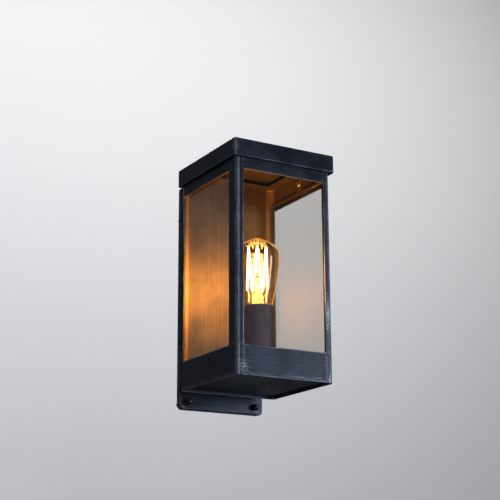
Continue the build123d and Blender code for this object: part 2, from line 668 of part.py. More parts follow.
def bulb_profile(inset):
    """Closed outline in the XZ plane, a given distance inside the glass's outer face:
    a blunt crown, a long taper, a waist and the straight neck."""
    r, top_z = BULB_R - inset, BULB_TOP - inset
    top, widest, rim = (0, 0, top_z), (r, 0, BULB_WIDEST_Z), (RIM_R - inset, 0, RIM_Z)
    waist, foot = (NECK_R - inset, 0, NECK_JOIN_Z), (NECK_R - inset, 0, NECK_JOIN_Z - 8)
    shoulder = (0.62 * r, 0, BULB_WIDEST_Z + 0.645 * (top_z - BULB_WIDEST_Z))
    return [
        Spline(top, shoulder, widest, tangents=((1, 0, -0.2), (0, 0, -1))),
        Bezier(widest, (r, 0, TAPER_PULL_Z), rim),
        Spline(rim, waist, tangents=((RIM_R - BULB_R, 0, RIM_Z - TAPER_PULL_Z), (0, 0, -1))),
        Line(waist, foot),
        Line(foot, (0, 0, foot[2])),
        Line((0, 0, foot[2]), top),
    ]


def bulb_glass():
    outer = revolve(make_face(Wire(bulb_profile(0))), Axis.Z)
    outer -= revolve(make_face(Wire(bulb_profile(ENVELOPE_T))), Axis.Z)
    open_end = rod_z(0, 0, NECK_JOIN_Z - 12, NECK_JOIN_Z - 7.5, NECK_R - ENVELOPE_T)
    return Pos(0, BULB_Y, 0) * (outer - open_end)


def bulb_cap():
    """The rolled brass screw shell round the neck of the glass."""
    z0, z1, wall = CONTACT_Z + 4.5, NECK_JOIN_Z + 1.0, 0.45
    outside = thread_wave(z0 + 1.5, z1 - 5, CAP_R - 0.3, 0.3)
    ledge = NECK_JOIN_Z - 8.1
    return turned([
        (9.5, z0), (12.3, z0), *outside, (CAP_R, z1 - 4), (CAP_R, z1), (CAP_R - wall, z1),
        (CAP_R - wall, ledge), (11.8, ledge), (11.8, z0 + 0.6), (9.5, z0 + 0.6),
    ])


def bulb_insulator():
    z0, z1 = CONTACT_Z + 1.2, CONTACT_Z + 4.5
    return turned([(0, z0), (5.0, z0), (9.4, z1), (9.4, z1 + 2), (0, z1 + 2)])


def bulb_contact():
    z = CONTACT_Z
    return turned([(0, z), (3.0, z), (4.4, z + 0.6), (4.4, z + 1.2), (0, z + 1.2)])


STEM_TIP = CAGE_TOP + 6.5


def bulb_stem():
    """The flared glass stem with a button at each end of the cage."""
    low, waist = NECK_JOIN_Z - 4, CAGE_LOW - 12
    return turned([
        (0, low + 1), (10.5, low), (11.7, low + 1.2), (5.5, low + 9), (3.2, low + 20),
        (3.4, waist), (1.6, waist + 3), (1.6, STEM_TIP - 5), (2.8, STEM_TIP - 2.4),
        (2.2, STEM_TIP), (0, STEM_TIP + 0.6),
    ])


def cage_point(index, radius, z):
    angle = 2 * math.pi * index / STRANDS
    return (radius * math.cos(angle), BULB_Y + radius * math.sin(angle), z)


def bend_z(index):
    """The filament bends at the top and the bottom of the cage by turns."""
    return CAGE_TOP if index % 2 == 0 else CAGE_LOW


def bulb_filament():
    """One wire in a slanting zigzag round the cage."""
    wire_r = 0.4
    bends = [cage_point(i, CAGE_R, bend_z(i)) for i in range(STRANDS)]
    strands = [bar(a, b, wire_r) for a, b in zip(bends, bends[1:])]
    return Part() + strands + [Pos(*bend) * Sphere(wire_r) for bend in bends]


def bulb_supports():
    """Fine wires from the stem's two buttons to the bends of the filament."""
    wire_r, reach = 0.25, CAGE_R - 0.9
    wires = []
    for i in range(STRANDS):
        start = (2.4, STEM_TIP - 2.4) if i % 2 == 0 else (2.6, CAGE_LOW - 12.5)
        wires.append(bar(cage_point(i, *start), cage_point(i, reach, bend_z(i)), wire_r))
    return Part() + wires


# ---- assembly -----------------------------------------------------------------------
def build():
    nodes = {
        "wall_gasket": wall_gasket(),
        "wall_plate": wall_plate(),
        "ball_screws": pair(ball_screw),
        "keyhole_screws": pair(keyhole_screw),
        "cable_grommet": grommet(0, CABLE_Z, PLATE_FACE_Y, PLATE_INNER_Y, CABLE_BORE_R),
        "earth_screw": earth_screw(),
        "mounting_neck": mounting_neck(),
        "neck_studs": corners_of(NECK_BOLT_X, NECK_BOLT_Z, neck_stud),
        "neck_washers": corners_of(NECK_BOLT_X, NECK_BOLT_Z, neck_washer),
        "neck_nuts": corners_of(NECK_BOLT_X, NECK_BOLT_Z, neck_nut),
        "terminal_block": terminal_block(),
        "terminal_screws": pair(terminal_screw),
        "terminal_fixing_screw": terminal_fixing_screw(),
        "wire_live": wire(-1),
        "wire_neutral": wire(1),
        "body_shell": body_shell(),
        "pane_strip": pane_strip(),
        "body_grommet": grommet(0, WIRE_Z, BACK_Y, BODY_BACK, CABLE_BORE_R),
        "floor_pan": floor_pan(),
        "channel_screws": Part() + [channel_screw(face) for face in ("front", "left", "right")],
        "lid": lid(),
        "lid_guides": lid_guides(),
        "lid_buffers": lid_buffers(),
        "holder_foot": holder_foot(),
        "foot_rivets": foot_rivets(),
        "holder_nipple": holder_nipple(),
        "nut_below_cup": nipple_nut(STEM_TOP, CUP_LOW),
        "nut_in_cup": nipple_nut(CUP_LOW + CUP_WALL, CUP_LOW + CUP_WALL + 3.2),
        "socket_cup": socket_cup(),
        "cup_bush": cup_bush(),
        "socket_insert": socket_insert(),
        "socket_terminals": pair(socket_terminal),
        "socket_sleeve": socket_sleeve(),
        "socket_contact": socket_contact(),
        "bulb_glass": bulb_glass(),
        "bulb_cap": bulb_cap(),
        "bulb_insulator": bulb_insulator(),
        "bulb_contact": bulb_contact(),
        "bulb_stem": bulb_stem(),
        "bulb_filament": bulb_filament(),
        "bulb_supports": bulb_supports(),
    }
    for face in ("front", "left", "right"):
        nodes[f"glass_{face}"] = pane(face)
        nodes[f"glazing_tape_{face}"] = tape(face)
        nodes[f"glass_channel_top_{face}"] = channel(face, top=True)
        nodes[f"glass_channel_bottom_{face}"] = channel(face, top=False)
    return nodes


if __name__ == "__main__":
    os.makedirs("parts", exist_ok=True)
    for name, part in build().items():
        export_step(part, f"parts/{name}.step")
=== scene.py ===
import math

import bpy
from mathutils import Matrix, Vector


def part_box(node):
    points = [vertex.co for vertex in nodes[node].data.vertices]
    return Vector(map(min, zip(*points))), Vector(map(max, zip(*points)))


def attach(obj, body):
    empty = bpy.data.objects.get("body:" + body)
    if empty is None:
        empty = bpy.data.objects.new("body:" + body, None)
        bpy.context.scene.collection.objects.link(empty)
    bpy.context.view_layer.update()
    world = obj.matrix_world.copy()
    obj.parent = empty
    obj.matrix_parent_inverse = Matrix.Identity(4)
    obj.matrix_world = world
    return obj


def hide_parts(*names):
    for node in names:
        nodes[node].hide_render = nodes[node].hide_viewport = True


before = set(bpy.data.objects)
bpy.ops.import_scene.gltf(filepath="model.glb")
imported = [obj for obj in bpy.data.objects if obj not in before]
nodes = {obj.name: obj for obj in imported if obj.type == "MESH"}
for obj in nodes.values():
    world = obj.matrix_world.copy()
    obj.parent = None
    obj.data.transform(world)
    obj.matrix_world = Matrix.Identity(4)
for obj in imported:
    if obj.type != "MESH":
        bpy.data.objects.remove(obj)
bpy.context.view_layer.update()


# ---- shader helpers -----------------------------------------------------------------
class Shade:
    """Builds one material's node tree. Coordinates are the row frame's, in metres."""

    def __init__(self, name):
        self.material = bpy.data.materials.new(name)
        self.material.use_nodes = True
        self.tree = self.material.node_tree
        self.tree.nodes.clear()
        self.out = self.tree.nodes.new("ShaderNodeOutputMaterial")
        self.place = self.make("TexCoord").outputs["Object"]
        self.normal = self.make("NewGeometry").outputs["Normal"]

    def make(self, kind, inputs=(), **settings):
        node = self.tree.nodes.new("ShaderNode" + kind)
        for key, value in settings.items():
            setattr(node, key, value)
        for key, value in dict(inputs).items():
            self.feed(node.inputs[key], value)
        return node

    def feed(self, socket, value):
        if isinstance(value, bpy.types.NodeSocket):
            self.tree.links.new(value, socket)
        elif isinstance(value, tuple) and len(value) == 3 and len(socket.default_value) == 4:
            socket.default_value = (*value, 1.0)
        else:
            socket.default_value = value

    def math(self, operation, a, b=0.0, clamp=False):
        node = self.make("Math", {0: a, 1: b}, operation=operation, use_clamp=clamp)
        return node.outputs[0]

    def add(self, *values):
        total = values[0]
        for value in values[1:]:
            total = self.math("ADD", total, value)
        return total

    def times(self, *values):
        total = values[0]
        for value in values[1:]:
            total = self.math("MULTIPLY", total, value)
        return total

    def larger(self, *values):
        total = values[0]
        for value in values[1:]:
            total = self.math("MAXIMUM", total, value)
        return total

    def axes(self, vector=None):
        return self.make("SeparateXYZ", {0: vector or self.place}).outputs

    def stretched(self, factors):
        return self.make("VectorMath", {0: self.place, 1: factors}, operation="MULTIPLY").outputs[0]

    def noise(self, scale, detail=3.0, rough=0.5, stretch=None):
        where = self.stretched(stretch) if stretch else self.place
        inputs = {"Vector": where, "Scale": scale, "Detail": detail, "Roughness": rough}
        return self.make("TexNoise", inputs).outputs[0]

    def ramp(self, value, low, high, to_low=0.0, to_high=1.0):
        inputs = {"Value": value, "From Min": low, "From Max": high,
                  "To Min": to_low, "To Max": to_high}
        return self.make("MapRange", inputs, interpolation_type="SMOOTHSTEP").outputs[0]

    # a Mix node's inputs 6 and 7 are its two colours, and 2 and 3 its two numbers
    def mix(self, amount, a, b, blend="MIX"):
        node = self.make("Mix", {0: amount, 6: a, 7: b}, data_type="RGBA", blend_type=blend)
        return node.outputs[2]

    def blend(self, amount, a, b):
        return self.make("Mix", {0: amount, 2: a, 3: b}, data_type="FLOAT").outputs[0]

    def edges(self, radius, low=0.01, high=0.2):
        """1 on the crest of an edge, 0 on the flat."""
        soft = self.make("Bevel", {"Radius": radius}, samples=4).outputs[0]
        dot = self.make("VectorMath", {0: soft, 1: self.normal}, operation="DOT_PRODUCT")
        return self.ramp(self.math("SUBTRACT", 1.0, dot.outputs["Value"]), low, high)

    def bump(self, height, depth, strength=1.0, round_edges=0.0):
        inputs = {"Height": height, "Distance": depth, "Strength": strength}
        if round_edges:
            inputs["Normal"] = self.make("Bevel", {"Radius": round_edges}, samples=4).outputs[0]
        return self.make("Bump", inputs).outputs[0]

    def surface(self, **inputs):
        named = {key.replace("_", " "): value for key, value in inputs.items()}
        return self.make("BsdfPrincipled", named).outputs[0]

    def finish(self, shader):
        self.feed(self.out.inputs["Surface"], shader)
        return self.material


def wear(material, *names):
    """Puts a material on CAD nodes or pieces."""
    for name in names:
        target = nodes[name] if isinstance(name, str) else name
        target.data.materials.clear()
        target.data.materials.append(material)


# ---- hand-rubbed dark metal ---------------------------------------------------------
# The outside is a dark blue-grey lacquer, brushed on and rubbed back to silver along the
# edges. The inside is bare brown metal, drawn up and down. A face is inside when it lies
# within its node's inner box and looks towards a point in the middle. Each entry is the
# box's lowest corner, its highest corner, and that point.
INSIDE_OF = {
    "body_shell": ((-0.0779, -0.1899, 0.0155), (0.0779, -0.0281, 0.3386), (0.0, -0.109, 0.175)),
    "floor_pan": ((-1.0, -1.0, 0.0162), (1.0, 1.0, 1.0), (0.0, -0.109, 0.100)),
    "lid": ((-0.0829, -0.1949, 0.0), (0.0829, -0.0231, 0.3457), (0.0, -0.109, 0.331)),
}

# edges that the lacquer is worn along, in metres
BODY_LOW, SILL, HEAD = 0.011, 0.053, 0.304      # body's lower edge, and the windows' ends
JAMB_X, CORNER_X = 0.067, 0.079                 # windows' upright edges, and the body's side
LID_LOW, LID_TOP = 0.3212, 0.3470
PLATE_LOW, PLATE_X = -0.0112, 0.0702
X, Z = 0, 2


def rubbed_metal(name, grain, rub=1.0, inside=None, hems=(), scuffs=(), painted_shade_tone=1.0,
                 body=0.55, shine=0.5):
    """grain: 'level', or 'body', whose posts are brushed up and down and whose rails across.
    A face that lies flat is brushed from side to side. rub: how much silver shows. hems:
    (axis, place, width) of planes beside which the lacquer is thin. scuffs: (place, radius)
    of knocked corners. painted_shade_tone scales the lacquer's colour down as painted shade,
    body is how metallic it looks, and shine its gloss."""
    s = Shade(name)
    x, y, z = s.axes()
    cloud = s.noise(22.0, 4.0, 0.6)
    patches = s.noise(60.0, 3.0, 0.55)
    across = s.noise(1.0, 5.0, 0.6, stretch=(26.0, 26.0, 1500.0))
    streak = across
    if grain == "body":
        upright = s.noise(1.0, 5.0, 0.6, stretch=(1500.0, 1500.0, 26.0))
        rail = s.larger(s.ramp(z, SILL + 0.003, SILL - 0.003),
                        s.ramp(z, HEAD - 0.003, HEAD + 0.003))
        streak = s.blend(rail, upright, across)
    nx, ny, nz = s.axes(s.normal)
    lying = s.ramp(s.math("ABSOLUTE", nz), 0.6, 0.8)
    streak = s.blend(lying, streak, s.noise(1.0, 5.0, 0.6, stretch=(26.0, 1500.0, 26.0)))
    grit = s.noise(1400.0, 4.0, 0.65)

    # lacquer: cloudy, with faint brush marks
    lacquer = s.mix(s.ramp(cloud, 0.35, 0.68), (0.0120, 0.0142, 0.0230), (0.0268, 0.0308, 0.0490))
    marks = s.times(s.ramp(streak, 0.46, 0.70), s.ramp(cloud, 0.30, 0.62, 0.35, 1.0))
    lacquer = s.mix(s.times(marks, 0.60), lacquer, (0.0760, 0.0850, 0.1240))

    # rubbed through: the crests of edges and dry streaks beside the hems; on the rounded corners
    # the silver band is partly rub-through and partly a painted highlight
    crest = s.edges(0.0013, 0.004, 0.10)
    broken = s.ramp(s.noise(420.0, 5.0, 0.7), 0.34, 0.58)
    long_gaps = s.ramp(patches, 0.32, 0.58, 0.35, 1.0)
    worn = s.times(crest, broken, long_gaps)
    near = 0.0
    for axis, at, width in hems:
        gap = s.math("ABSOLUTE", s.math("SUBTRACT", (x, y, z)[axis], at))
        near = s.larger(near, s.ramp(gap, width, 0.0))
    # the middle of each rounded corner's bend: its silver band is partly real rub-through and
    # partly a painted highlight
    corner = s.ramp(s.math("ABSOLUTE", s.times(nx, ny)), 0.16, 0.44)
    near = s.larger(near, s.times(corner, 1.05))
    dry = s.ramp(s.add(s.times(streak, 0.6), s.times(grit, 0.4)), 0.50, 0.66)
    dry = s.times(dry, s.ramp(s.add(s.times(near, 0.60), patches), 0.62, 0.96))
    fine = s.ramp(s.add(s.times(grit, 0.6), s.times(streak, 0.4)), 0.43, 0.60, 0.06, 0.95)
    corner_rub_and_highlight = s.times(corner, fine, s.ramp(patches, 0.30, 0.60, 0.40, 1.0), 0.62)

    # fine flecks where a corner was knocked
    knocked = 0.0
    for place, radius in scuffs:
        gap = s.make("VectorMath", {0: s.place, 1: place}, operation="DISTANCE").outputs["Value"]
        knocked = s.larger(knocked, s.ramp(gap, radius, 0.0))
    flecks = s.ramp(s.add(s.times(grit, 0.35), s.times(s.noise(620.0, 5.0, 0.7), 0.40),
                          s.times(streak, 0.25), s.times(knocked, 0.12)), 0.61, 0.66)
    flecks = s.times(flecks, s.ramp(knocked, 0.02, 0.5), 0.85)
    worn = s.math("MULTIPLY", s.larger(worn, s.times(dry, 0.8), corner_rub_and_highlight, flecks), rub, clamp=True)
    # painted shade: the lacquer is darkened wherever the tone is below 1
    lacquer = s.mix(1.0, lacquer, (painted_shade_tone, painted_shade_tone, painted_shade_tone), blend="MULTIPLY")
    silver = s.mix(grit, (0.30, 0.33, 0.39), (0.70, 0.74, 0.82))
    outer = s.mix(worn, lacquer, silver)

    rough = s.add(0.40, s.times(s.math("SUBTRACT", streak, 0.5), 0.35),
                  s.times(s.math("SUBTRACT", cloud, 0.5), 0.25))
    metal = s.blend(worn, body, 1.0)
    if inside:
        (x0, y0, z0), (x1, y1, z1), middle = inside
        outward = s.make("VectorMath", {0: s.place, 1: middle}, operation="SUBTRACT").outputs[0]
        facing = s.make("VectorMath", {0: outward, 1: s.normal}, operation="DOT_PRODUCT")
        within = s.math("LESS_THAN", facing.outputs["Value"], 0.0)
        for value, low, high in ((x, x0, x1), (y, y0, y1), (z, z0, z1)):
            within = s.times(within, s.math("GREATER_THAN", value, low),
                             s.math("LESS_THAN", value, high))
        stain = s.ramp(s.noise(20.0, 5.0, 0.62), 0.34, 0.70)
        drawn = s.noise(1.0, 4.0, 0.6, stretch=(700.0, 700.0, 7.0))
        line = s.ramp(s.noise(1.0, 2.0, 0.5, stretch=(520.0, 520.0, 4.0)), 0.64, 0.74)
        bare = s.mix(stain, (0.090, 0.053, 0.028), (0.154, 0.097, 0.046))
        bare = s.mix(s.times(s.ramp(drawn, 0.40, 0.72), 0.30), bare, (0.30, 0.18, 0.095))
        bare = s.mix(s.times(line, 0.30), bare, (0.46, 0.29, 0.15))
        # painted highlight: bright orange along the inner back corners, where the bulb's light
        # catches their bend
        painted_corner_glow = s.times(s.ramp(s.math("ABSOLUTE", x), 0.0655, 0.0690), s.ramp(y, -0.0380, -0.0340))
        bare = s.mix(s.times(painted_corner_glow, 0.8), bare, (0.42, 0.235, 0.10))
        outer = s.mix(within, outer, bare)
        rough = s.blend(within, rough, s.add(0.60, s.times(drawn, 0.16), s.times(stain, -0.06)))
        metal = s.blend(within, metal, 0.9)
    height = s.add(s.times(streak, 0.6), s.times(grit, 0.25), s.times(worn, -0.5))
    normal = s.bump(height, 0.00008, 0.8, round_edges=0.0006)
    level = s.make("Tangent", direction_type="RADIAL", axis="Z").outputs[0]
    shader = s.surface(Base_Color=outer, Metallic=metal, Roughness=rough, Normal=normal,
                       Anisotropic=0.45, Tangent=level, Specular_IOR_Level=shine)
    return s.finish(shader)


BODY_HEMS = ((Z, BODY_LOW, 0.009), (Z, SILL, 0.004), (Z, HEAD, 0.0035), (X, JAMB_X, 0.0030),
             (X, -JAMB_X, 0.0030), (X, CORNER_X, 0.0040))
LID_HEMS = ((Z, LID_LOW, 0.003), (Z, LID_TOP, 0.004))
PLATE_HEMS = ((Z, PLATE_LOW, 0.005), (X, -PLATE_X, 0.004), (X, PLATE_X, 0.004))
BODY_SCUFFS = (((-0.070, -0.191, 0.024), 0.024), ((0.076, -0.189, 0.016), 0.020),
               ((0.078, -0.186, 0.110), 0.060))
LID_SCUFFS = (((-0.083, -0.195, 0.334), 0.016), ((0.083, -0.193, 0.324), 0.014))
PLATE_SCUFFS = (((-0.066, -0.0095, -0.009), 0.010), ((0.060, -0.0095, -0.010), 0.014))
wear(rubbed_metal("BodyMetal", "body", 1.0, INSIDE_OF["body_shell"], BODY_HEMS, BODY_SCUFFS),
     "body_shell")
# painted shade: the floor pan's lacquer is darkened to 0.3 because its underside lies in shade
wear(rubbed_metal("FloorMetal", "level", 0.4, INSIDE_OF["floor_pan"], painted_shade_tone=0.3,
                  body=0.1, shine=0.15), "floor_pan")
wear(rubbed_metal("LidMetal", "level", 0.9, INSIDE_OF["lid"], LID_HEMS, LID_SCUFFS), "lid")
wear(rubbed_metal("PlateMetal", "level", 0.7, None, PLATE_HEMS, PLATE_SCUFFS), "wall_plate")
wear(rubbed_metal("NeckMetal", "level", 0.6), "mounting_neck")


# ---- plain metals -------------------------------------------------------------------
def machined(name, dark, light, rough=0.32, scale=900.0, tarnish=0.3):
    """Turned or plated metal: fine tool marks, dull spots and bright edges."""
    s = Shade(name)
    spots = s.ramp(s.noise(260.0, 5.0, 0.6), 0.40, 0.66)
    marks = s.noise(scale, 4.0, 0.6, stretch=(1.0, 1.0, 3.0))
    crest = s.times(s.edges(0.0005), 0.6)
    colour = s.mix(s.times(spots, tarnish), light, dark)
    colour = s.mix(crest, colour, tuple(min(1.0, 1.35 * c) for c in light))
    roughness = s.add(rough - 0.08, s.times(marks, 0.18), s.times(spots, 0.12))
    normal = s.bump(marks, 0.00003, 0.6, round_edges=0.0002)
    shader = s.surface(Base_Color=colour, Metallic=1.0, Roughness=roughness, Normal=normal)
    return s.finish(shader)


zinc = machined("ZincPlate", (0.27, 0.27, 0.26), (0.56, 0.56, 0.55))
brass = machined("Brass", (0.36, 0.22, 0.07), (0.80, 0.58, 0.25), 0.26)
old_brass = machined("OldBrass", (0.24, 0.15, 0.07), (0.60, 0.42, 0.20), 0.36, tarnish=0.6)
channel_metal = machined("ChannelMetal", (0.20, 0.115, 0.060), (0.55, 0.33, 0.17), 0.34)
tin = machined("Tin", (0.40, 0.40, 0.39), (0.72, 0.72, 0.70), 0.28)
wear(zinc, "keyhole_screws", "neck_studs", "neck_washers", "neck_nuts", "channel_screws",
     "terminal_fixing_screw", "holder_nipple", "nut_below_cup", "nut_in_cup")
wear(old_brass, "earth_screw", "terminal_screws", "socket_contact", "socket_terminals")
wear(channel_metal, *[f"glass_channel_{end}_{face}" for end in ("top", "bottom")
                      for face in ("front", "left", "right")], "lid_guides")
wear(tin, "bulb_contact")


def dark_ball(name):
    """Heads of screws and rivets: near-black lacquer, rubbed bright in places."""
    s = Shade(name)
    grit = s.noise(900.0, 5.0, 0.65)
    patch = s.ramp(s.noise(240.0, 4.0, 0.6), 0.46, 0.66)
    worn = s.times(patch, s.ramp(grit, 0.45, 0.62), 0.55)
    colour = s.mix(worn, (0.014, 0.016, 0.022), (0.40, 0.43, 0.50))
    shader = s.surface(Base_Color=colour, Metallic=0.5, Roughness=s.add(0.14, s.times(grit, 0.2)),
                       Normal=s.bump(grit, 0.00006, 0.7))
    return s.finish(shader)


wear(dark_ball("BallLacquer"), "ball_screws", "foot_rivets")


def powder_coat(name, low, high):
    """The lampholder's matt brown coat, with the fine orange peel of baked powder."""
    s = Shade(name)
    peel = s.noise(1300.0, 2.0, 0.5)
    cloud = s.noise(40.0, 4.0, 0.6)
    colour = s.mix(s.ramp(cloud, 0.3, 0.7), low, high)
    worn = s.times(s.edges(0.0008), s.ramp(peel, 0.45, 0.6), 0.5)
    colour = s.mix(worn, colour, (0.17, 0.13, 0.11))
    rough = s.add(0.46, s.times(peel, 0.18))
    shader = s.surface(Base_Color=colour, Metallic=0.15, Roughness=rough,
                       Normal=s.bump(peel, 0.00010, 0.8, round_edges=0.0004))
    return s.finish(shader)


wear(powder_coat("HolderCoat", (0.086, 0.072, 0.104), (0.128, 0.106, 0.148)),
     "socket_cup", "holder_foot")


# ---- rubber, plastic, ceramic -------------------------------------------------------
def moulded(name, low, high, rough, bump_depth=0.00008, scale=1100.0, coat=0.0, dirt=None):
    """Moulded rubber or plastic, glazed ceramic or black glass: two shades, pores and dirt."""
    s = Shade(name)
    pores = s.noise(scale, 4.0, 0.6)
    cloud = s.noise(90.0, 4.0, 0.6)
    colour = s.mix(s.ramp(cloud, 0.32, 0.68), low, high)
    if dirt:
        colour = s.mix(s.times(s.ramp(s.noise(150.0, 5.0, 0.7), 0.55, 0.75), 0.35), colour, dirt)
    shader = s.surface(Base_Color=colour, Roughness=s.add(rough - 0.07, s.times(pores, 0.14)),
                       Coat_Weight=coat, Coat_Roughness=0.12,
                       Normal=s.bump(pores, bump_depth, 0.8, round_edges=0.0003))
    return s.finish(shader)


rubber = moulded("Rubber", (0.010, 0.010, 0.011), (0.022, 0.022, 0.023), 0.62,
                 dirt=(0.10, 0.10, 0.09))
seal = moulded("Seal", (0.014, 0.014, 0.014), (0.030, 0.030, 0.030), 0.75, 0.00015, 1500.0)
wear(rubber, "wall_gasket", "cable_grommet", "body_grommet", "lid_buffers", "cup_bush")
# pane_strip wears the black seal too: a near-black strip along each side pane's rear edge, which
# makes the dark band there
wear(seal, "glazing_tape_front", "glazing_tape_left", "glazing_tape_right", "pane_strip")
wear(moulded("BlockPlastic", (0.70, 0.67, 0.58), (0.80, 0.78, 0.70), 0.42, dirt=(0.35, 0.30, 0.22)),
     "terminal_block")
wear(moulded("Ceramic", (0.72, 0.70, 0.64), (0.84, 0.82, 0.77), 0.30, 0.00004, 500.0, coat=0.6,
             dirt=(0.42, 0.33, 0.22)), "socket_insert")
wear(moulded("BlackGlass", (0.008, 0.007, 0.009), (0.016, 0.013, 0.018), 0.16, 0.00002, 400.0,
             coat=0.5), "bulb_insulator")


def braid(name, base, thread):
    """A woven glass-fibre sleeve: two sets of threads cross at a slant."""
    s = Shade(name)
    x, y, z = s.axes()
    run = s.times(s.add(y, z), 2600.0)
    side = s.times(x, 5200.0)
    one = s.math("SINE", s.add(run, side))
    two = s.math("SINE", s.math("SUBTRACT", run, side))
    weave = s.larger(one, two)
    fuzz = s.noise(1800.0, 3.0, 0.6)
    colour = s.mix(s.ramp(weave, 0.2, 0.95), base, thread)
    colour = s.mix(s.times(fuzz, 0.25), colour, (0.45, 0.38, 0.30))
    height = s.add(weave, fuzz)
    shader = s.surface(Base_Color=colour, Roughness=s.add(0.72, s.times(fuzz, 0.2)),
                       Normal=s.bump(height, 0.00012, 0.8))
    return s.finish(shader)


wear(braid("BrownSleeve", (0.085, 0.035, 0.016), (0.20, 0.095, 0.045)), "wire_live")
wear(braid("BlueSleeve", (0.020, 0.040, 0.120), (0.050, 0.100, 0.260)), "wire_neutral")


# ---- glass --------------------------------------------------------------------------
def clear_pane(name):
    """Clear glass that lets the lamp through, with a faint film of dust and a green edge."""
    s = Shade(name)
    dust = s.ramp(s.noise(35.0, 6.0, 0.65), 0.42, 0.80)
    specks = s.ramp(s.noise(1600.0, 2.0, 0.5), 0.72, 0.80)
    edge = s.edges(0.0012, 0.02, 0.25)
    tint = s.mix(edge, (0.965, 0.962, 0.952), (0.55, 0.68, 0.62))
    through = s.make("BsdfTransparent", {"Color": tint}).outputs[0]
    gloss = s.make("BsdfGlossy", {"Color": (0.92, 0.94, 0.93),
                                  "Roughness": s.add(0.02, s.times(dust, 0.06))}).outputs[0]
    film = s.make("BsdfDiffuse", {"Color": (0.50, 0.48, 0.44)}).outputs[0]
    shine = s.times(s.make("Fresnel", {"IOR": 1.45}).outputs[0], 0.30)
    lit = s.make("MixShader", {0: s.add(shine, s.times(edge, 0.15)), 1: through, 2: gloss})
    haze = s.add(s.times(dust, 0.006), s.times(specks, 0.03))
    return s.finish(s.make("MixShader", {0: haze, 1: lit.outputs[0], 2: film}).outputs[0])


wear(clear_pane("PaneGlass"), "glass_front", "glass_left", "glass_right")


def blown_glass(name, thin, thick, rim_light):
    """Tinted blown glass: the tint deepens towards the rim, and a painted glow along the rim stands
    in for the lamp's light running along the wall. Faint rings and seeds stay from the blowing."""
    s = Shade(name)
    facing = s.make("LayerWeight", {"Blend": 0.5}).outputs["Facing"]
    seeds = s.ramp(s.noise(500.0, 3.0, 0.6), 0.66, 0.80)
    rings = s.noise(1.0, 3.0, 0.5, stretch=(30.0, 30.0, 260.0))
    depth = s.add(s.ramp(facing, 0.78, 1.0), s.times(rings, 0.06))
    through = s.make("BsdfTransparent", {"Color": s.mix(depth, thin, thick)}).outputs[0]
    gloss = s.make("BsdfGlossy", {"Color": (0.96, 0.94, 0.90),
                                  "Roughness": s.add(0.02, s.times(rings, 0.04))}).outputs[0]
    shine = s.make("Fresnel", {"IOR": 1.45}).outputs[0]
    amount = s.math("MINIMUM", s.add(s.times(shine, 0.55), s.times(seeds, 0.03)), 0.6)
    lit = s.make("MixShader", {0: amount, 1: through, 2: gloss}).outputs[0]
    # painted glow: the rim emits, standing in for the lamp's light carried along the glass
    rim = s.times(s.ramp(facing, 0.72, 0.98), s.ramp(rings, 0.2, 0.8, 0.7, 1.0), rim_light)
    painted_rim_glow = s.make("Emission", {"Color": (1.0, 0.50, 0.14), "Strength": rim}).outputs[0]
    return s.finish(s.make("AddShader", {0: lit, 1: painted_rim_glow}).outputs[0])


wear(blown_glass("BulbAmber", (0.985, 0.935, 0.815), (0.84, 0.58, 0.26), 0.55), "bulb_glass")
wear(blown_glass("StemGlass", (0.985, 0.975, 0.94), (0.74, 0.66, 0.50), 0.30), "bulb_stem")


# ---- bulb: glowing cage -------------------------------------------------------------
def glow(name, colour, strength):
    """Hot wire, brighter in some places than in others. On the support hooks the same emission is a
    painted glow.
    """
    s = Shade(name)
    flicker = s.noise(700.0, 3.0, 0.6)
    hot = s.mix(s.ramp(flicker, 0.3, 0.7), colour, (1.0, 0.86, 0.60))
    shader = s.surface(Base_Color=(0.30, 0.18, 0.08), Roughness=0.5, Emission_Color=hot,
                       Emission_Strength=strength)
    material = s.finish(shader)
    material.cycles.emission_sampling = "NONE"
    return material


BULB_Y = -0.115
CAGE_R, CAGE_LOW, CAGE_TOP = 0.0150, 0.1515, 0.2160
BENDS = 12                     # turning points of the zigzag, by turns low and high
BEND_SHARE = 0.035             # share of a run that belongs to the bend at either end
COIL_R, COIL_PITCH, STRAND_R = 0.00080, 0.0014, 0.00034
BEND_R, HOOK_WIRE_R, HOOK_R = 0.00045, 0.00028, 0.0009
UPPER_BUTTON, LOWER_BUTTON, BUTTON_R = 0.2201, 0.1390, 0.0024


def cage_spot(step, radius, z):
    """A spot at the angle of a bend, at a distance from the bulb's axis."""
    angle = 2 * math.pi * step / BENDS
    return Vector((radius * math.cos(angle), BULB_Y + radius * math.sin(angle), z))


def tube_along(name, lines, radius, sides):
    """One mesh of round tubes along lists of points, on the bulb."""
    verts, faces = [], []
    for line in lines:
        points = [Vector(p) for p in line]
        start = len(verts)
        side = None
        for i, here in enumerate(points):
            before, after = points[max(i - 1, 0)], points[min(i + 1, len(points) - 1)]
            along = (after - before).normalized()
            if side is None:
                side = along.orthogonal().normalized()
            side = (side - side.dot(along) * along).normalized()
            other = along.cross(side)
            for k in range(sides):
                turn = 2 * math.pi * k / sides
                verts.append(here + radius * (math.cos(turn) * side + math.sin(turn) * other))
        for i in range(len(points) - 1):
            for k in range(sides):
                a, b = start + i * sides + k, start + i * sides + (k + 1) % sides
                faces.append((a, b, b + sides, a + sides))
        faces.append(tuple(start + k for k in reversed(range(sides))))
        last = start + (len(points) - 1) * sides
        faces.append(tuple(last + k for k in range(sides)))
    return add_mesh(name, verts, faces, "bulb")


def add_mesh(name, verts, faces, body):
    """A smooth-shaded piece that rides on a body."""
    mesh = bpy.data.meshes.new(name)
    mesh.from_pydata([tuple(v) for v in verts], [], faces)
    mesh.validate()
    mesh.polygons.foreach_set("use_smooth", [True] * len(mesh.polygons))
    piece = bpy.data.objects.new(name, mesh)
    bpy.context.scene.collection.objects.link(piece)
    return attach(piece, body)


